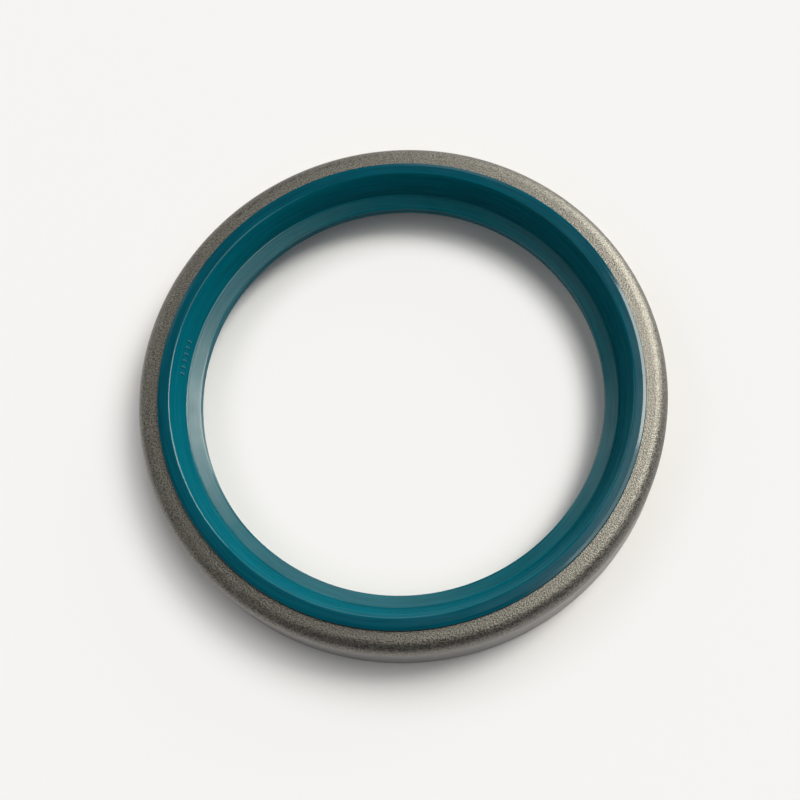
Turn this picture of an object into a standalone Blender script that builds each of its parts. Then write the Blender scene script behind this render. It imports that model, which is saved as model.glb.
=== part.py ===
"""Rotary shaft oil seal for a 60 mm shaft in a 74 mm housing bore, 10 mm wide.

The seal lies on its open end, with its closed face up and its axis along Z.
It is three separate pieces, each turned about Z:

steel_case     the pressed outer ring, with a flange turned in at the closed face
sealing_lip    the moulded rubber, which grips the flange's edge and ends in the lip
garter_spring  the coil spring that lies in the lip's groove and pulls it onto the shaft

All sizes are in metres. An outline is a list of corners in (radius, height), each
with the radius of its fillet, and it is spun about Z into a closed ring.
"""

import math

import bmesh
import bpy
from mathutils import Vector

# Sizes that name the seal
SHAFT_RADIUS = 0.0300
SECTION_WIDTH = 0.0070
SEAL_WIDTH = 0.0100

# Gap kept between two pieces that touch on the real seal
FIT_GAP = 0.0003

# Steel case
SHEET = 0.0010
INSIDE_BEND = 0.0010
BARE_FACE_WIDTH = 0.0028
GRIP_LENGTH = 0.0013
GRIP_THICKNESS = 0.0005
CHAMFER_HEIGHT = 0.0010
CHAMFER_DEPTH = 0.0004

# Rubber above the flange
RUBBER_PROUD = 0.0005
SHOULDER_WIDTH = 0.0005
SHOULDER_DROP = 0.0001
RIM_INSET = 0.0016
RIM_BEVEL_WIDTH = 0.00044
RIM_BEVEL_DROP = 0.0006
RIM_FILLET = 0.00012

# Rubber below the flange
TONGUE_THICKNESS = 0.0008
TONGUE_FILLET = 0.00035
MEMBRANE_THICKNESS = 0.0011
MEMBRANE_FILLET = 0.0006
WAIST_FILLET = 0.0003
FOOT_FILLET = 0.00025

# Lip
LIP_INTERFERENCE = 0.00148
LIP_DEPTH = 0.00565
LIP_FILLET = 0.00005
LAND_HEIGHT = 0.00135
LAND_FILLET = 0.00015
AIR_CONE_WIDTH = 0.00198
AIR_CONE_RISE = 0.0009
OIL_CONE_HEIGHT = 0.0021
OIL_CONE_ANGLE = math.radians(40)
NOSE_WIDTH = 0.0014
NOSE_FILLET = 0.0003

# Garter spring, its groove, and the hook of rubber that keeps it in
COIL_RADIUS = 0.0009
SPRING_INSET = 0.00288
SPRING_RISE = 0.0003
GROOVE_LOWER_ANGLE = math.radians(-50)
GROOVE_UPPER_ANGLE = math.radians(65)
HOOK_HEIGHT = 0.0003
HOOK_SLOPE_HEIGHT = 0.0003

# Facets
RING_STEPS = 72
BEND_STEP = math.radians(15)
FILLET_STEP = math.radians(30)
GROOVE_STEP = math.radians(24)
COIL_STEPS = 12
SHARP_ANGLE = math.radians(40)

# Places worked out from the sizes above
HOUSING_RADIUS = SHAFT_RADIUS + SECTION_WIDTH
FACE_HEIGHT = SEAL_WIDTH - RUBBER_PROUD
UNDER_FLANGE = FACE_HEIGHT - SHEET
GRIP_TOP = UNDER_FLANGE + GRIP_THICKNESS
WALL_INSIDE = HOUSING_RADIUS - SHEET
STEP_RADIUS = HOUSING_RADIUS - BARE_FACE_WIDTH
FLANGE_INSIDE = STEP_RADIUS - GRIP_LENGTH
RUBBER_EDGE = STEP_RADIUS - FIT_GAP
LIP_RADIUS = SHAFT_RADIUS - LIP_INTERFERENCE
LIP_HEIGHT = SEAL_WIDTH - LIP_DEPTH
SPRING_RADIUS = LIP_RADIUS + SPRING_INSET
SPRING_HEIGHT = LIP_HEIGHT + SPRING_RISE
GROOVE_RADIUS = COIL_RADIUS + FIT_GAP


def clear_scene():
    """Remove every object that the scene starts with."""
    for thing in list(bpy.data.objects):
        bpy.data.objects.remove(thing, do_unlink=True)


def principled(name, colour, metallic, roughness):
    """Make a plain material of one colour."""
    material = bpy.data.materials.new(name)
    material.use_nodes = True
    shader = material.node_tree.nodes["Principled BSDF"]
    shader.inputs["Base Color"].default_value = (*colour, 1.0)
    shader.inputs["Metallic"].default_value = metallic
    shader.inputs["Roughness"].default_value = roughness
    return material


def arc(centre, radius, first_angle, last_angle, step):
    """Points of a round stretch, both ends included."""
    count = max(2, math.ceil(abs(last_angle - first_angle) / step))
    turn = (last_angle - first_angle) / count
    angles = [first_angle + turn * index for index in range(count + 1)]
    return [centre + radius * Vector((math.cos(angle), math.sin(angle))) for angle in angles]


def fillet(before, corner, after, radius):
    """Points that round one corner of an outline."""
    if radius == 0.0:
        return [corner]
    back = (before - corner).normalized()
    onward = (after - corner).normalized()
    half = back.angle(onward) / 2
    centre = corner + (back + onward).normalized() * (radius / math.sin(half))
    start = corner + back * (radius / math.tan(half)) - centre
    end = corner + onward * (radius / math.tan(half)) - centre
    first_angle = math.atan2(start.y, start.x)
    sweep = math.atan2(start.cross(end), start.dot(end))
    step = BEND_STEP if radius >= INSIDE_BEND else FILLET_STEP
    return arc(centre, radius, first_angle, first_angle + sweep, step)


def rounded(corners):
    """Outline of a closed section, from its corners and the radius of each corner's fillet."""
    places = [Vector(corner[:2]) for corner in corners]
    outline = []
    for index, corner in enumerate(corners):
        before = places[index - 1]
        after = places[(index + 1) % len(places)]
        outline += fillet(before, places[index], after, corner[2])
    return outline


def turned(name, outline, material):
    """Spin a closed outline about Z into a ring."""
    mesh = bpy.data.meshes.new(name)
    shape = bmesh.new()
    points = [shape.verts.new((point.x, 0.0, point.y)) for point in outline]
    edges = [shape.edges.new((points[index - 1], points[index])) for index in range(len(points))]
    bmesh.ops.spin(
        shape,
        geom=points + edges,
        cent=(0.0, 0.0, 0.0),
        axis=(0.0, 0.0, 1.0),
        angle=math.tau,
        steps=RING_STEPS,
        use_merge=True,
    )
    bmesh.ops.recalc_face_normals(shape, faces=shape.faces)
    shape.to_mesh(mesh)
    shape.free()
    mesh.shade_smooth()
    mesh.set_sharp_from_angle(angle=SHARP_ANGLE)
    mesh.materials.append(material)
    ring = bpy.data.objects.new(name, mesh)
    bpy.context.collection.objects.link(ring)
    return ring


def case_outline():
    """Section of the pressed case: wall, round corner, flange and its thinned edge."""
    outside_bend = INSIDE_BEND + SHEET
    corners = [
        (HOUSING_RADIUS - CHAMFER_DEPTH, 0.0, 0.0),
        (HOUSING_RADIUS, CHAMFER_HEIGHT, 0.0),
        (HOUSING_RADIUS, FACE_HEIGHT, outside_bend),
        (STEP_RADIUS, FACE_HEIGHT, 0.0),
        (STEP_RADIUS, GRIP_TOP, 0.0),
        (FLANGE_INSIDE, GRIP_TOP, 0.0),
        (FLANGE_INSIDE, UNDER_FLANGE, 0.0),
        (WALL_INSIDE, UNDER_FLANGE, INSIDE_BEND),
        (WALL_INSIDE, 0.0, 0.0),
    ]
    return rounded(corners)


def air_side():
    """Corners of the closed side: the rim, the top and foot of the steep wall, and the land's top."""
    rim = Vector((RUBBER_EDGE - RIM_INSET, SEAL_WIDTH))
    top = rim - Vector((RIM_BEVEL_WIDTH, RIM_BEVEL_DROP))
    land = Vector((LIP_RADIUS, LIP_HEIGHT + LAND_HEIGHT))
    foot = land + Vector((AIR_CONE_WIDTH, AIR_CONE_RISE))
    return rim, top, foot, land


def membrane_radius(top, foot, height):
    """Radius of the membrane's oil side, parallel to the steep wall, at a height."""
    along = (top - foot).normalized()
    across = Vector((along.y, -along.x))
    start = foot + across * MEMBRANE_THICKNESS
    return start.x + along.x / along.y * (height - start.y)


def groove():
    """Round seat of the spring, from its lower corner around to its upper corner."""
    centre = Vector((SPRING_RADIUS, SPRING_HEIGHT))
    first_angle = GROOVE_LOWER_ANGLE
    last_angle = GROOVE_UPPER_ANGLE - math.tau
    return arc(centre, GROOVE_RADIUS, first_angle, last_angle, GROOVE_STEP)


def lip_outline():
    """Section of the moulded rubber, from the shoulder inward, down the lip and back up."""
    rim, top, foot, land = air_side()
    tongue_top = UNDER_FLANGE - FIT_GAP
    tongue_bottom = tongue_top - TONGUE_THICKNESS
    tongue_end = WALL_INSIDE - INSIDE_BEND
    slot_top = GRIP_TOP + FIT_GAP
    slot_inside = FLANGE_INSIDE - FIT_GAP
    nose_bottom = LIP_HEIGHT - OIL_CONE_HEIGHT
    nose_inside = LIP_RADIUS + OIL_CONE_HEIGHT * math.tan(OIL_CONE_ANGLE)
    seat = groove()
    hook_top = seat[-1].y + HOOK_HEIGHT
    waist = hook_top + HOOK_SLOPE_HEIGHT
    corners = [
        (RUBBER_EDGE, slot_top, 0.0),
        (RUBBER_EDGE, SEAL_WIDTH - SHOULDER_DROP, 0.0),
        (RUBBER_EDGE - SHOULDER_WIDTH, SEAL_WIDTH, 0.0),
        (rim.x, rim.y, RIM_FILLET),
        (top.x, top.y, RIM_FILLET),
        (foot.x, foot.y, FOOT_FILLET),
        (land.x, land.y, LAND_FILLET),
        (LIP_RADIUS, LIP_HEIGHT, LIP_FILLET),
        (nose_inside, nose_bottom, NOSE_FILLET),
        (nose_inside + NOSE_WIDTH, nose_bottom, NOSE_FILLET),
    ]
    corners += [(point.x, point.y, 0.0) for point in seat]
    corners += [
        (seat[-1].x, hook_top, 0.0),
        (membrane_radius(top, foot, waist), waist, WAIST_FILLET),
        (membrane_radius(top, foot, tongue_bottom), tongue_bottom, MEMBRANE_FILLET),
        (tongue_end, tongue_bottom, TONGUE_FILLET),
        (tongue_end, tongue_top, TONGUE_FILLET),
        (slot_inside, tongue_top, 0.0),
        (slot_inside, slot_top, 0.0),
    ]
    return rounded(corners)


def spring_outline():
    """Section of the closed coil, taken at the outside of its turns."""
    centre = Vector((SPRING_RADIUS, SPRING_HEIGHT))
    points = arc(centre, COIL_RADIUS, 0.0, math.tau, math.tau / COIL_STEPS)
    return points[:-1]


def build():
    """Make the three pieces."""
    clear_scene()
    steel = principled("case_steel", (0.30, 0.28, 0.24), 0.9, 0.5)
    rubber = principled("lip_rubber", (0.004, 0.13, 0.17), 0.0, 0.35)
    wire = principled("spring_steel", (0.55, 0.55, 0.56), 1.0, 0.3)
    turned("steel_case", case_outline(), steel)
    turned("sealing_lip", lip_outline(), rubber)
    turned("garter_spring", spring_outline(), wire)


build()
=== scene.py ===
"""Looks of the rotary shaft oil seal: fine meshes, finishes, floor, light and camera.

Each CAD node is replaced by a finer mesh of the same form, and one small piece is added:

steel_case     turned with smooth bends, in blasted steel that is smoother down the wall
sealing_lip    turned with smooth fillets, in teal rubber, with a narrow ledge at the wall's foot
mould_ticks    a row of plain raised ticks on the steep wall
garter_spring  the true coil of one wire, its narrow end screwed into its own start

All sizes are in metres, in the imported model's frame. An outline is a list of corners in
(radius, height), each with the radius of its fillet, and it is turned about Z into a ring.
"""

import math

import bpy
from mathutils import Matrix, Vector


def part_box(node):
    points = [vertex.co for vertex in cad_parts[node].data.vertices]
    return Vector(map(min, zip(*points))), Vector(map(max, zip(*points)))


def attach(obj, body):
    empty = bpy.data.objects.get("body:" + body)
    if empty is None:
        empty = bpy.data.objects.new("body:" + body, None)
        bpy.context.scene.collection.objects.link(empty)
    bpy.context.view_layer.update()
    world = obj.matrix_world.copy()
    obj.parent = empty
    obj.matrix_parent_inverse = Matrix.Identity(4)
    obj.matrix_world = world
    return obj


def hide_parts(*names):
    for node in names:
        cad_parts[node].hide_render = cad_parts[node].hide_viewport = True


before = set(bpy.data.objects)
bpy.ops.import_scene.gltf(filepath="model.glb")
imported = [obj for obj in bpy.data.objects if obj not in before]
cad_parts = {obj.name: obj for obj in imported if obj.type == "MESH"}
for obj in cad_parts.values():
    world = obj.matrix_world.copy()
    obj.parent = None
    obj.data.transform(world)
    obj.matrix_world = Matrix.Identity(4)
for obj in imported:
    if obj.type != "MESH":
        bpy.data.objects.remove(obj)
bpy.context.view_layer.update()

# Places taken from the frame
CASE_TOP_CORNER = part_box("steel_case")[1]
LIP_TOP_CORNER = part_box("sealing_lip")[1]
SPRING_LOW_CORNER, SPRING_TOP_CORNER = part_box("garter_spring")
HOUSING_RADIUS = CASE_TOP_CORNER.x
FACE_HEIGHT = CASE_TOP_CORNER.z
SEAL_TOP = LIP_TOP_CORNER.z
COIL_RADIUS = (SPRING_TOP_CORNER.z - SPRING_LOW_CORNER.z) / 2
SPRING_HEIGHT = (SPRING_TOP_CORNER.z + SPRING_LOW_CORNER.z) / 2
SPRING_RADIUS = SPRING_TOP_CORNER.x - COIL_RADIUS

# The solids stand this far apart, and the dressed pieces nearly touch
SOLID_GAP = 0.0003
SEEN_GAP = 0.00002

# Steel case
SHEET = 0.0010
INSIDE_BEND = 0.0010
RUBBER_EDGE_INSET = 0.0031
GRIP_LENGTH = 0.0013
GRIP_THICKNESS = 0.0005
CHAMFER_HEIGHT = 0.0010
CHAMFER_DEPTH = 0.0004
EDGE_BREAK = 0.00008
STEP_BREAK = 0.00004
FACE_DROP = 0.0002

# Rubber above the flange, and the steep wall, which bulges slightly
SHOULDER_WIDTH = 0.0005
SHOULDER_DROP = 0.00010
SHOULDER_FILLET = 0.0001
CREVICE = 0.00001
RIM_INSET = 0.0017
RIM_BEVEL_WIDTH = 0.00044
RIM_BEVEL_DROP = 0.0006
RIM_FILLET = 0.00036
WALL_TOP_FILLET = 0.0006
WALL_CROWN = 0.00012
CROWN_STEPS = 8

# Rubber below the flange
TONGUE_THICKNESS = 0.0008
TONGUE_FILLET = 0.00035
MEMBRANE_THICKNESS = 0.0011
MEMBRANE_FILLET = 0.0006
WAIST_FILLET = 0.0003

# Narrow ledge at the foot of the steep wall, and the small step down from it
LEDGE_WIDTH = 0.00025
LEDGE_SLOPE = math.radians(17)
LEDGE_FILLET = 0.00006
LEDGE_STEP_WIDTH = 0.0000125
LEDGE_STEP_DROP = 0.00005

# Lip
LIP_RADIUS = 0.02852
LIP_HEIGHT = 0.00435
LIP_FILLET = 0.00005
LAND_HEIGHT = 0.00135
LAND_FILLET = 0.00007
AIR_CONE_WIDTH = 0.00198
AIR_CONE_RISE = 0.0009
OIL_CONE_HEIGHT = 0.0021
OIL_CONE_ANGLE = math.radians(40)
NOSE_WIDTH = 0.0014
NOSE_FILLET = 0.0003

# Groove of the spring, and the hook of rubber that keeps the spring in
GROOVE_LOWER_ANGLE = math.radians(-50)
GROOVE_UPPER_ANGLE = math.radians(65)
HOOK_HEIGHT = 0.0003
HOOK_SLOPE_HEIGHT = 0.0003

# Spring wire
WIRE_RADIUS = 0.0002
SPRING_TURNS = 470
STEPS_PER_TURN = 18
WIRE_SIDES = 8
TAPER_TURNS = 3
NIB_TURNS = 6
JOINT_ANGLE = math.radians(250)

# Ticks on the steep wall, and the share of its length and width that a tick keeps at its top
TICK_COUNT = 6
TICK_FIRST_ANGLE = math.radians(166)
TICK_SPACING = math.radians(1.8)
TICK_LENGTH = 0.0010
TICK_WIDTH = 0.00030
TICK_HEIGHT = 0.00010
TICK_TOP_SHARE = 0.7

# Facets
RING_STEPS = 480
ARC_STEP = math.radians(9)
FILLET_LEAD = 0.00002
SHARP_ANGLE = math.radians(40)

# Stretch of a noise's values that is carried to the range from 0 to 1
NOISE_RANGE = (0.3, 0.7)

# Steel's look: smooth low on the wall, and blasted from between these heights upward
BLASTED_HEIGHTS = (0.0070, 0.0086)
SMOOTH_STEEL = (0.19, 0.186, 0.184, 1.0)
BLASTED_TONES = ((0.115, 0.106, 0.092, 1.0), (0.315, 0.301, 0.274, 1.0))
SPECKLE_SIZE = 0.00021
SPECKLE_RANGE = (0.34, 0.66)
STEEL_CLOUD = (0.21, 0.198, 0.182, 1.0)
STEEL_CLOUD_SIZE = 0.004
STEEL_CLOUD_SHARE = 0.3
STEEL_ROUGHNESS = (0.40, 0.50)
STEEL_BUMP = 0.000016

# Rubber's gloss: specular level, roughness on the cone and roughness on the face
DULL_RUBBER = (0.02, 0.60, 0.60)
GLOSSY_RUBBER = (0.41, 0.31, 0.20)

# How far outside the wall's foot the cone's gloss begins
GLOSS_MARGIN = 0.00003

# Rubber's two tones, from streak to streak, on the cone, on the wall and on the face
# These are lit and shaded copies of one rubber. The wall's lighter tone is painted light, for light
# shining through the thin wall. The face's darker tone is painted shade over the steel flange. The
# cone's tone, a little darker than the wall's, is painted shade from the wall above it.
CONE_TONES_PAINTED_SHADE = ((0.0, 0.078, 0.110, 1.0), (0.0, 0.108, 0.148, 1.0))
WALL_TONES_PAINTED_LIGHT = ((0.0, 0.088, 0.125, 1.0), (0.0, 0.118, 0.166, 1.0))
FACE_TONES_PAINTED_SHADE = ((0.0, 0.058, 0.091, 1.0), (0.0, 0.076, 0.115, 1.0))

# Rubber's streaks and ripples, and the clouds by which its roughness varies
STREAK_LENGTH = 0.007
STREAK_WIDTH = 0.0003
RIPPLE_SIZE = 0.0012
RUBBER_BUMP = 0.0000025
RUBBER_CLOUD_SIZE = 0.003
RUBBER_CLOUD_SWING = (0.9, 1.1)

# Rubber's edges keep this share of its roughness, fading out at this distance
EDGE_ROUGHNESS_SHARE = 0.4
EDGE_REACH = 0.0004

# Wire's look
WIRE_TONES = ((0.42, 0.41, 0.40, 1.0), (0.60, 0.60, 0.60, 1.0))
WIRE_GRAIN_SIZE = 0.0003
WIRE_ROUGHNESS = (0.22, 0.36)
WIRE_BUMP = 0.000003

# Camera, fitted to the photograph
CAMERA_PLACE = Vector((0.01489, -0.06127, 0.19992))
CAMERA_AIM = Vector((-0.00022, -0.00061, 0.0050))
IMAGE_UP = Vector((-0.01096, 1.0, 0.0))
LENS = 65.16
NEAREST_SEEN = 0.01
FARTHEST_SEEN = 10.0

# Light: each lamp's azimuth, elevation, half-angle as the seal sees it, and level on the floor
LAMP_DISTANCE = 4.0
LAMPS = {
    "high_window": (24, 70, 14, 0.15),
    "window": (34, 52, 12, 0.38),
    "low_window": (46, 22, 15, 0.21),
    "side_window": (84, 25, 18, 0.05),
    "back_window": (145, 32, 14, 0.05),
    "left_window": (200, 40, 20, 0.04),
    "right_window": (330, 62, 12, 0.04),
}
LAMP_COLOUR = (1.0, 0.99, 0.90)

# Room: its level at each height, its tint, and how it dims toward its dark side
ROOM_STOPS = ((0.0, 0.15), (0.35, 0.12), (0.62, 0.08), (0.80, 0.05), (1.0, 0.04))
ROOM_TINT = (0.9, 1.0, 1.1)
DARK_SIDE = Vector((-0.3, -1.0, 0.3)).normalized()
DARK_SIDE_RANGE = (0.2, 0.8)
DARK_SIDE_LEVEL = 0.5

# Floor
FLOOR_RADIUS = 4.0
FLOOR_STEPS = 96
FLOOR_TONES = ((0.925, 0.905, 0.925, 1.0), (0.940, 0.920, 0.940, 1.0))
FLOOR_MOTTLE_SIZE = 0.02
FLOOR_ROUGHNESS = 0.9

# Floor's glow: its share beside the ring and away from it, and the radii between which it changes
FLOOR_GLOW = (0.920, 0.912, 0.896, 1.0)
SHADOW_LIFT = 0.05
FLOOR_LIFT = 0.9
SHADOW_INSIDE = (0.0225, 0.0285)
SHADOW_OUTSIDE = (0.0365, 0.0465)

# Places worked out from the sizes above
UNDER_FLANGE = FACE_HEIGHT - SHEET
GRIP_TOP = UNDER_FLANGE + GRIP_THICKNESS
WALL_INSIDE = HOUSING_RADIUS - SHEET
RUBBER_EDGE = HOUSING_RADIUS - RUBBER_EDGE_INSET
STEP_RADIUS = RUBBER_EDGE + CREVICE
FLANGE_INSIDE = RUBBER_EDGE + SOLID_GAP - GRIP_LENGTH
GROOVE_RADIUS = COIL_RADIUS + SEEN_GAP

# Corners of the closed side: the rim, the top and foot of the steep wall, and the land's top
RIM = Vector((RUBBER_EDGE - RIM_INSET, SEAL_TOP))
WALL_TOP = RIM - Vector((RIM_BEVEL_WIDTH, RIM_BEVEL_DROP))
LAND_TOP = Vector((LIP_RADIUS, LIP_HEIGHT + LAND_HEIGHT))
WALL_FOOT = LAND_TOP + Vector((AIR_CONE_WIDTH, AIR_CONE_RISE))


def arc(centre, radius, first_angle, last_angle):
    """Points of a round stretch, both ends included."""
    count = max(2, math.ceil(abs(last_angle - first_angle) / ARC_STEP))
    turn = (last_angle - first_angle) / count
    angles = [first_angle + turn * index for index in range(count + 1)]
    return [centre + radius * Vector((math.cos(angle), math.sin(angle))) for angle in angles]


def fillet(before, corner, after, radius):
    """Points that round one corner, with a point just outside each end that keeps the flats flat."""
    if radius == 0.0:
        return [corner]
    back = (before - corner).normalized()
    onward = (after - corner).normalized()
    half = back.angle(onward) / 2
    reach = radius / math.tan(half)
    centre = corner + (back + onward).normalized() * (radius / math.sin(half))
    start = corner + back * reach - centre
    end = corner + onward * reach - centre
    first_angle = math.atan2(start.y, start.x)
    sweep = math.atan2(start.cross(end), start.dot(end))
    points = arc(centre, radius, first_angle, first_angle + sweep)
    return [points[0] + back * FILLET_LEAD] + points + [points[-1] + onward * FILLET_LEAD]


def rounded(corners):
    """Outline of a closed section, from its corners and the radius of each corner's fillet."""
    places = [Vector(corner[:2]) for corner in corners]
    outline = []
    for index, corner in enumerate(corners):
        before = places[index - 1]
        after = places[(index + 1) % len(places)]
        outline += fillet(before, places[index], after, corner[2])
    return outline


def add_piece(name, points, faces, material, slot):
    """Make a smooth closed mesh, and put it on the seal's one body."""
    mesh = bpy.data.meshes.new(name)
    mesh.from_pydata(points, [], faces)
    mesh.shade_smooth()
    mesh.set_sharp_from_angle(angle=SHARP_ANGLE)
    mesh.materials.append(material)
    piece = bpy.data.objects.new(name, mesh)
    bpy.context.collection.objects.link(piece)
    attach(piece, "root")
    return piece


def turned(outline):
    """Points and faces of an outline turned about Z. The faces look outward if it runs anticlockwise."""
    count = len(outline)
    points = []
    for step in range(RING_STEPS):
        angle = math.tau * step / RING_STEPS
        points += [(p.x * math.cos(angle), p.x * math.sin(angle), p.y) for p in outline]
    faces = []
    for step in range(RING_STEPS):
        here = step * count
        there = (step + 1) % RING_STEPS * count
        for index in range(count):
            after = (index + 1) % count
            faces.append((here + index, there + index, there + after, here + after))
    return points, faces


def case_outline():
    """Section of the pressed case: wall, round corner, flange and its thinned edge."""
    corners = [
        (HOUSING_RADIUS - CHAMFER_DEPTH, 0.0, EDGE_BREAK),
        (HOUSING_RADIUS, CHAMFER_HEIGHT, EDGE_BREAK),
        (HOUSING_RADIUS, FACE_HEIGHT - FACE_DROP, INSIDE_BEND + SHEET),
        (STEP_RADIUS, FACE_HEIGHT, STEP_BREAK),
        (STEP_RADIUS, GRIP_TOP, 0.0),
        (FLANGE_INSIDE, GRIP_TOP, 0.0),
        (FLANGE_INSIDE, UNDER_FLANGE, 0.0),
        (WALL_INSIDE, UNDER_FLANGE, INSIDE_BEND),
        (WALL_INSIDE, 0.0, EDGE_BREAK),
    ]
    return rounded(corners)


def membrane_radius(height):
    """Radius of the membrane's oil side, parallel to the steep wall, at a height."""
    along = (WALL_TOP - WALL_FOOT).normalized()
    across = Vector((along.y, -along.x))
    start = WALL_FOOT + across * MEMBRANE_THICKNESS
    return start.x + along.x / along.y * (height - start.y)


def groove():
    """Round seat of the spring, from its lower corner around to its upper corner."""
    centre = Vector((SPRING_RADIUS, SPRING_HEIGHT))
    return arc(centre, GROOVE_RADIUS, GROOVE_LOWER_ANGLE, GROOVE_UPPER_ANGLE - math.tau)


def crowned(first, last, crown):
    """Corners between two places on a slightly bulging line, without the two places."""
    along = last - first
    outward = Vector((along.y, -along.x)).normalized()
    corners = []
    for step in range(1, CROWN_STEPS):
        share = step / CROWN_STEPS
        place = first + along * share + outward * (4 * crown * share * (1 - share))
        corners.append((place.x, place.y, 0.0))
    return corners


def lip_outline():
    """Section of the moulded rubber, from the shoulder inward, down the lip and back up."""
    tongue_top = UNDER_FLANGE - SEEN_GAP
    tongue_bottom = tongue_top - TONGUE_THICKNESS
    tongue_end = WALL_INSIDE - INSIDE_BEND
    slot_top = GRIP_TOP + SEEN_GAP
    slot_inside = FLANGE_INSIDE - SEEN_GAP
    nose_bottom = LIP_HEIGHT - OIL_CONE_HEIGHT
    nose_inside = LIP_RADIUS + OIL_CONE_HEIGHT * math.tan(OIL_CONE_ANGLE)
    seat = groove()
    hook_top = seat[-1].y + HOOK_HEIGHT
    waist = hook_top + HOOK_SLOPE_HEIGHT
    ledge = WALL_FOOT + Vector((-math.cos(LEDGE_SLOPE), -math.sin(LEDGE_SLOPE))) * LEDGE_WIDTH
    cone_top = ledge - Vector((LEDGE_STEP_WIDTH, LEDGE_STEP_DROP))
    corners = [
        (RUBBER_EDGE, slot_top, 0.0),
        (RUBBER_EDGE, SEAL_TOP - SHOULDER_DROP, SHOULDER_FILLET),
        (RUBBER_EDGE - SHOULDER_WIDTH, SEAL_TOP, SHOULDER_FILLET),
        (RIM.x, RIM.y, RIM_FILLET),
        (WALL_TOP.x, WALL_TOP.y, WALL_TOP_FILLET),
    ]
    corners += crowned(WALL_TOP, WALL_FOOT, WALL_CROWN)
    corners += [
        (WALL_FOOT.x, WALL_FOOT.y, 0.0),
        (ledge.x, ledge.y, LEDGE_FILLET),
        (cone_top.x, cone_top.y, 0.0),
        (LAND_TOP.x, LAND_TOP.y, LAND_FILLET),
        (LIP_RADIUS, LIP_HEIGHT, LIP_FILLET),
        (nose_inside, nose_bottom, NOSE_FILLET),
        (nose_inside + NOSE_WIDTH, nose_bottom, NOSE_FILLET),
    ]
    corners += [(point.x, point.y, 0.0) for point in seat]
    corners += [
        (seat[-1].x, hook_top, 0.0),
        (membrane_radius(waist), waist, WAIST_FILLET),
        (membrane_radius(tongue_bottom), tongue_bottom, MEMBRANE_FILLET),
        (tongue_end, tongue_bottom, TONGUE_FILLET),
        (tongue_end, tongue_top, TONGUE_FILLET),
        (slot_inside, tongue_top, 0.0),
        (slot_inside, slot_top, 0.0),
    ]
    return rounded(corners)


def coil_radius_at(turn):
    """Radius from the coil's centre to the wire's centre: full, then tapering to the narrow end."""
    full = COIL_RADIUS - WIRE_RADIUS
    narrow = full - 2 * WIRE_RADIUS - SEEN_GAP / 2
    taper = (turn - (SPRING_TURNS - TAPER_TURNS)) / TAPER_TURNS
    return full + (narrow - full) * min(max(taper, 0.0), 1.0)


def wire_ring(turn):
    """One ring of points round the wire, at a place along the coil counted in turns."""
    ring_angle = JOINT_ANGLE + math.tau * turn / SPRING_TURNS
    phase = math.tau * turn
    radial = Vector((math.cos(ring_angle), math.sin(ring_angle), 0.0))
    forward = Vector((-radial.y, radial.x, 0.0))
    outward = radial * math.cos(phase) + Vector((0.0, 0.0, math.sin(phase)))
    centre = radial * SPRING_RADIUS + Vector((0.0, 0.0, SPRING_HEIGHT))
    centre += outward * coil_radius_at(turn)
    points = []
    for side in range(WIRE_SIDES):
        angle = math.tau * side / WIRE_SIDES
        points.append(centre + WIRE_RADIUS * (outward * math.cos(angle) + forward * math.sin(angle)))
    return points


def coil():
    """Points and faces of the wire, with a cap on each end."""
    rings = (SPRING_TURNS + NIB_TURNS) * STEPS_PER_TURN + 1
    points = []
    for ring in range(rings):
        points += wire_ring(ring / STEPS_PER_TURN)
    faces = []
    for ring in range(rings - 1):
        here = ring * WIRE_SIDES
        there = here + WIRE_SIDES
        for side in range(WIRE_SIDES):
            after = (side + 1) % WIRE_SIDES
            faces.append((here + side, here + after, there + after, there + side))
    last = (rings - 1) * WIRE_SIDES
    faces.append(tuple(reversed(range(WIRE_SIDES))))
    faces.append(tuple(range(last, last + WIRE_SIDES)))
    return points, faces


def ticks():
    """Points and faces of the plain ticks, each a small tapered block that sinks into the wall."""
    along = (WALL_TOP - WALL_FOOT).normalized()
    across = Vector((-along.y, along.x))
    middle = (WALL_TOP + WALL_FOOT) / 2 + across * WALL_CROWN
    points = []
    faces = []
    for tick in range(TICK_COUNT):
        angle = TICK_FIRST_ANGLE + TICK_SPACING * tick
        radial = Vector((math.cos(angle), math.sin(angle), 0.0))
        forward = Vector((-radial.y, radial.x, 0.0))
        first = len(points)
        for lift, share in ((-TICK_HEIGHT, 1.0), (TICK_HEIGHT, TICK_TOP_SHARE)):
            for end, side in ((-1, -1), (1, -1), (1, 1), (-1, 1)):
                place = middle + across * lift + along * (end * share * TICK_LENGTH / 2)
                point = radial * place.x + forward * (side * share * TICK_WIDTH / 2)
                points.append(point + Vector((0.0, 0.0, place.y)))
        faces.append((first + 3, first + 2, first + 1, first))
        faces.append((first + 4, first + 5, first + 6, first + 7))
        for index in range(4):
            after = (index + 1) % 4
            faces.append((first + index, first + after, first + 4 + after, first + 4 + index))
    return points, faces


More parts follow.
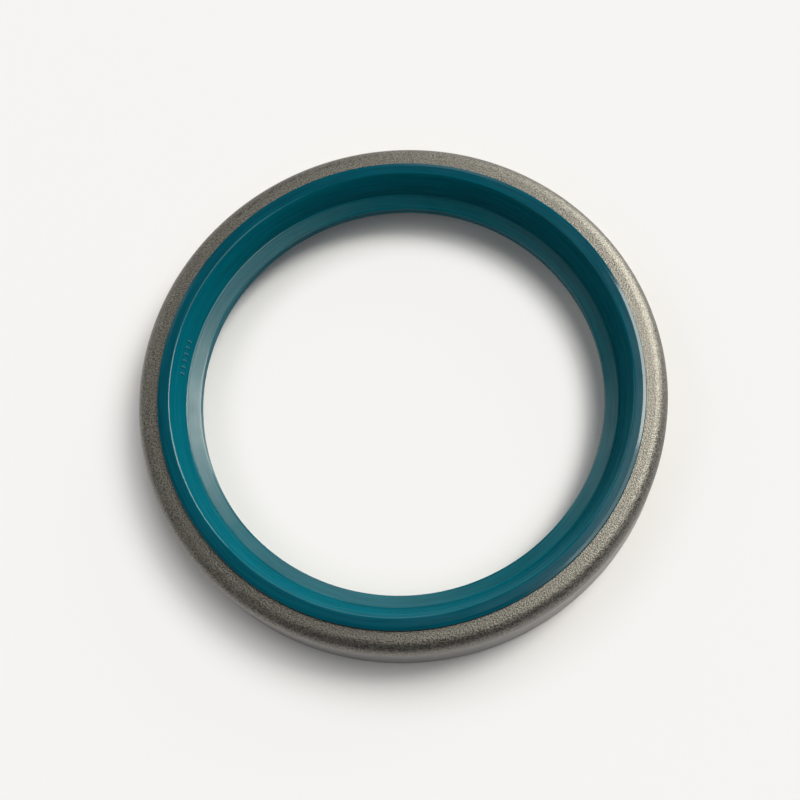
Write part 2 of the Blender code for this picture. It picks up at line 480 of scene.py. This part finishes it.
class Graph:
    """Short calls that add nodes to a node tree and join them."""

    def __init__(self, tree, coordinates):
        self.nodes = tree.nodes
        self.links = tree.links
        self.place = self.add("ShaderNodeTexCoord").outputs[coordinates]
        split = self.add("ShaderNodeSeparateXYZ")
        self.feed(split.inputs[0], self.place)
        self.x, self.y, self.z = split.outputs

    def add(self, kind, **settings):
        """Add a node, with its settings."""
        node = self.nodes.new(kind)
        for key, value in settings.items():
            setattr(node, key, value)
        return node

    def feed(self, socket, value):
        """Give a socket a fixed value, or join it to another node's output."""
        if isinstance(value, bpy.types.NodeSocket):
            self.links.new(value, socket)
        else:
            socket.default_value = value

    def call(self, kind, *values, **settings):
        """Add a node, feed its inputs in order, and give its first output."""
        node = self.add(kind, **settings)
        for socket, value in zip(node.inputs, values):
            self.feed(socket, value)
        return node.outputs[0]

    def maths(self, operation, first, second=0.0):
        """One operation on a number, or on two."""
        return self.call("ShaderNodeMath", first, second, operation=operation)

    def grain(self, size, detail=2.0, place=None):
        """Noise from 0 to 1, with lumps of about this size."""
        node = self.add("ShaderNodeTexNoise")
        self.feed(node.inputs["Vector"], place or self.place)
        node.inputs["Scale"].default_value = 1.0 / size
        node.inputs["Detail"].default_value = detail
        return node.outputs["Fac"]

    def span(self, value, low, high, first=0.0, last=1.0):
        """Carry a number from one range to another, smoothly and clamped."""
        values = (value, low, high, first, last)
        return self.call("ShaderNodeMapRange", *values, interpolation_type="SMOOTHSTEP")

    def blend(self, factor, first, second):
        """Mix two colours."""
        node = self.add("ShaderNodeMix", data_type="RGBA")
        sockets = {socket.identifier: socket for socket in node.inputs}
        self.feed(sockets["Factor_Float"], factor)
        self.feed(sockets["A_Color"], first)
        self.feed(sockets["B_Color"], second)
        return next(socket for socket in node.outputs if socket.identifier == "Result_Color")

    def bump(self, height, depth):
        """Bump that rises by this depth in metres as the height goes from 0 to 1."""
        node = self.add("ShaderNodeBump")
        self.feed(node.inputs["Height"], height)
        node.inputs["Distance"].default_value = depth
        return node.outputs["Normal"]

    def radius(self):
        """Distance from the seal's axis."""
        x_squared = self.maths("MULTIPLY", self.x, self.x)
        y_squared = self.maths("MULTIPLY", self.y, self.y)
        return self.maths("SQRT", self.maths("ADD", x_squared, y_squared))

    def near(self, value, middle, reach):
        """1 where a number is at the middle, falling smoothly to 0 at the reach."""
        distance = self.maths("ABSOLUTE", self.maths("SUBTRACT", value, middle))
        return self.span(distance, 0.0, reach, 1.0, 0.0)

    def along_ring(self, along, across):
        """Coordinates whose noise has lumps this long round the ring and this wide across it."""
        radius = self.radius()
        turns = LIP_RADIUS / along
        x = self.maths("MULTIPLY", self.maths("DIVIDE", self.x, radius), turns)
        y = self.maths("MULTIPLY", self.maths("DIVIDE", self.y, radius), turns)
        z = self.maths("DIVIDE", self.maths("ADD", radius, self.z), across)
        return self.call("ShaderNodeCombineXYZ", x, y, z)


def new_finish(name):
    """A material, its shader's inputs and its graph."""
    material = bpy.data.materials.new(name)
    material.use_nodes = True
    graph = Graph(material.node_tree, "Object")
    return material, graph.nodes["Principled BSDF"].inputs, graph


def case_steel():
    """Warm grey steel, blasted on the face and round corner and smoother down the wall."""
    material, shader, graph = new_finish("case_steel")
    speckle = graph.span(graph.grain(SPECKLE_SIZE), *SPECKLE_RANGE)
    cloud = graph.span(graph.grain(STEEL_CLOUD_SIZE), *NOISE_RANGE, 0.0, STEEL_CLOUD_SHARE)
    blasted = graph.span(graph.z, *BLASTED_HEIGHTS)
    colour = graph.blend(blasted, SMOOTH_STEEL, graph.blend(speckle, *BLASTED_TONES))
    graph.feed(shader["Base Color"], graph.blend(cloud, colour, STEEL_CLOUD))
    shader["Metallic"].default_value = 1.0
    rough = graph.maths("MULTIPLY", speckle, blasted)
    graph.feed(shader["Roughness"], graph.span(rough, 0.0, 1.0, *STEEL_ROUGHNESS))
    graph.feed(shader["Normal"], graph.bump(rough, STEEL_BUMP))
    return material


def rubber_colour_painted_light_and_shade(graph, radius, streaks):
    """Colour of the rubber, streaked, which changes from the cone to the wall and to the face, with
    painted light on the wall and painted shade on the cone and the face.
    """
    streaked = graph.span(streaks, *NOISE_RANGE)
    cone, wall, face = (graph.blend(streaked, *tones) for tones in (CONE_TONES_PAINTED_SHADE, WALL_TONES_PAINTED_LIGHT, FACE_TONES_PAINTED_SHADE))
    past_foot = graph.span(radius, WALL_FOOT.x - LEDGE_WIDTH, WALL_FOOT.x)
    past_rim = graph.span(radius, RIM.x - RIM_BEVEL_WIDTH / 2, RIM.x + RIM_BEVEL_WIDTH)
    return graph.blend(past_rim, graph.blend(past_foot, cone, wall), face)


def rubber_roughness(graph, radius, on_cone, on_face):
    """Roughness of the rubber, cloudy, and lower along the moulded edges."""
    satin = graph.span(radius, WALL_FOOT.x, WALL_TOP.x, on_cone, on_face)
    cloud = graph.span(graph.grain(RUBBER_CLOUD_SIZE), *NOISE_RANGE, *RUBBER_CLOUD_SWING)
    satin = graph.maths("MULTIPLY", satin, cloud)
    edge = graph.near(radius, RIM.x, EDGE_REACH)
    for corner in (RUBBER_EDGE - SHOULDER_WIDTH / 2, WALL_TOP.x, WALL_FOOT.x, LAND_TOP.x):
        edge = graph.maths("MAXIMUM", edge, graph.near(radius, corner, EDGE_REACH))
    return graph.maths("MULTIPLY", satin, graph.span(edge, 0.0, 1.0, 1.0, EDGE_ROUGHNESS_SHARE))


def lip_rubber(name, gloss, on_cone, on_face):
    """Teal moulded rubber, with faint streaks along the ring, and painted light and shade from the cone
    to the wall and the face.
    """
    material, shader, graph = new_finish(name)
    radius = graph.radius()
    streaks = graph.grain(1.0, place=graph.along_ring(STREAK_LENGTH, STREAK_WIDTH))
    height = graph.maths("ADD", streaks, graph.grain(RIPPLE_SIZE))
    graph.feed(shader["Base Color"], rubber_colour_painted_light_and_shade(graph, radius, streaks))
    shader["Specular IOR Level"].default_value = gloss
    graph.feed(shader["Roughness"], rubber_roughness(graph, radius, on_cone, on_face))
    graph.feed(shader["Normal"], graph.bump(height, RUBBER_BUMP))
    return material


def polish(lip, glossy):
    """Give the glossy finish to the face, from the rim outward, and to the ledge and the cone."""
    lip.data.materials.append(glossy)
    for face in lip.data.polygons:
        radius = face.center.xy.length
        upper = radius > RIM.x - RIM_FILLET / 2 and face.center.z > WALL_TOP.y
        lower = radius < WALL_FOOT.x + GLOSS_MARGIN and face.center.z > LAND_TOP.y - LAND_FILLET
        face.material_index = 1 if upper or lower else 0


def spring_steel():
    """Bright drawn wire."""
    material, shader, graph = new_finish("spring_steel")
    grain = graph.span(graph.grain(WIRE_GRAIN_SIZE, detail=3.0), *NOISE_RANGE)
    graph.feed(shader["Base Color"], graph.blend(grain, *WIRE_TONES))
    shader["Metallic"].default_value = 1.0
    graph.feed(shader["Roughness"], graph.span(grain, 0.0, 1.0, *WIRE_ROUGHNESS))
    graph.feed(shader["Normal"], graph.bump(grain, WIRE_BUMP))
    return material


def floor_lift(graph):
    """Glow's share of the floor, as the camera and reflections see it, with little beside the ring."""
    path = graph.add("ShaderNodeLightPath")
    seen = graph.maths("MAXIMUM", path.outputs["Is Camera Ray"], path.outputs["Is Glossy Ray"])
    seen = graph.maths("MAXIMUM", seen, path.outputs["Is Transmission Ray"])
    radius = graph.radius()
    inside = graph.span(radius, *SHADOW_INSIDE, FLOOR_LIFT, SHADOW_LIFT)
    outside = graph.span(radius, *SHADOW_OUTSIDE, SHADOW_LIFT, FLOOR_LIFT)
    return graph.maths("MULTIPLY", seen, graph.maths("MAXIMUM", inside, outside))


def floor_finish():
    """Plain pale floor, seen through from below so that it doesn't hide the seal's open side."""
    material, shader, graph = new_finish("floor_finish")
    mottle = graph.grain(FLOOR_MOTTLE_SIZE, detail=3.0)
    graph.feed(shader["Base Color"], graph.blend(mottle, *FLOOR_TONES))
    shader["Roughness"].default_value = FLOOR_ROUGHNESS
    shader["Specular IOR Level"].default_value = 0.0
    matt = graph.nodes["Principled BSDF"].outputs[0]
    glow = graph.call("ShaderNodeEmission", FLOOR_GLOW)
    lifted = graph.call("ShaderNodeMixShader", floor_lift(graph), matt, glow)
    clear = graph.call("ShaderNodeBsdfTransparent")
    below = graph.add("ShaderNodeNewGeometry").outputs["Backfacing"]
    either = graph.call("ShaderNodeMixShader", below, lifted, clear)
    graph.feed(graph.nodes["Material Output"].inputs["Surface"], either)
    return material


def add_floor():
    """A wide flat disc under the seal."""
    mesh = bpy.data.meshes.new("floor")
    angles = [math.tau * step / FLOOR_STEPS for step in range(FLOOR_STEPS)]
    points = [(FLOOR_RADIUS * math.cos(angle), FLOOR_RADIUS * math.sin(angle), 0.0) for angle in angles]
    mesh.from_pydata(points, [], [tuple(range(FLOOR_STEPS))])
    mesh.materials.append(floor_finish())
    floor = bpy.data.objects.new("floor", mesh)
    bpy.context.collection.objects.link(floor)


def add_lamp(name, azimuth, elevation, half_angle, level):
    """A round lamp that faces the seal, and adds its level to a flat white floor."""
    azimuth, elevation, half_angle = (math.radians(angle) for angle in (azimuth, elevation, half_angle))
    flat = math.cos(elevation)
    direction = Vector((flat * math.cos(azimuth), flat * math.sin(azimuth), math.sin(elevation)))
    data = bpy.data.lights.new(name, "AREA")
    data.shape = "DISK"
    data.size = 2 * LAMP_DISTANCE * math.tan(half_angle)
    data.color = LAMP_COLOUR
    data.energy = level * (math.pi * LAMP_DISTANCE / math.cos(half_angle)) ** 2 / math.sin(elevation)
    lamp = bpy.data.objects.new(name, data)
    lamp.location = direction * LAMP_DISTANCE
    lamp.rotation_euler = direction.to_track_quat("Z", "Y").to_euler()
    bpy.context.collection.objects.link(lamp)


def add_world():
    """A dim room, brightest low down and darker on the near side."""
    world = bpy.data.worlds.new("room")
    bpy.context.scene.world = world
    world.use_nodes = True
    graph = Graph(world.node_tree, "Generated")
    background = graph.nodes["Background"]
    ramp = graph.add("ShaderNodeValToRGB")
    elements = ramp.color_ramp.elements
    while len(elements) < len(ROOM_STOPS):
        elements.new(1.0)
    for element, (height, level) in zip(elements, ROOM_STOPS):
        element.position = height
        element.color = (*(level * tint for tint in ROOM_TINT), 1.0)
    graph.feed(ramp.inputs["Fac"], graph.z)
    graph.feed(background.inputs["Color"], ramp.outputs["Color"])
    toward = graph.add("ShaderNodeVectorMath", operation="DOT_PRODUCT")
    graph.feed(toward.inputs[0], graph.place)
    toward.inputs[1].default_value = DARK_SIDE
    dimmed = graph.span(toward.outputs["Value"], *DARK_SIDE_RANGE, 1.0, DARK_SIDE_LEVEL)
    graph.feed(background.inputs["Strength"], dimmed)


def add_camera():
    """The photograph's camera."""
    back = (CAMERA_PLACE - CAMERA_AIM).normalized()
    side = IMAGE_UP.cross(back).normalized()
    up = back.cross(side)
    turn = Matrix((side, up, back)).transposed().to_4x4()
    data = bpy.data.cameras.new("camera")
    data.lens = LENS
    data.clip_start = NEAREST_SEEN
    data.clip_end = FARTHEST_SEEN
    camera = bpy.data.objects.new("camera", data)
    camera.matrix_world = Matrix.Translation(CAMERA_PLACE) @ turn
    bpy.context.collection.objects.link(camera)
    bpy.context.scene.camera = camera


def add_seal():
    """The seal's pieces."""
    rubber = lip_rubber("lip_rubber", *DULL_RUBBER)
    glossy = lip_rubber("lip_rubber_glossy", *GLOSSY_RUBBER)
    case = add_piece("steel_case_turned", *turned(case_outline()), case_steel(), "case_steel")
    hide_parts("steel_case")
    lip = add_piece("sealing_lip_turned", *turned(lip_outline()), rubber, "lip_rubber")
    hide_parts("sealing_lip")
    polish(lip, glossy)
    add_piece("mould_ticks", *ticks(), glossy, "lip_rubber")
    spring = add_piece("garter_spring_coil", *coil(), spring_steel(), "spring_steel")
    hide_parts("garter_spring")


add_camera()
for lamp_name, lamp_values in LAMPS.items():
    add_lamp(lamp_name, *lamp_values)
add_world()
add_floor()
add_seal()
bpy.context.scene.view_settings.view_transform = "Standard"
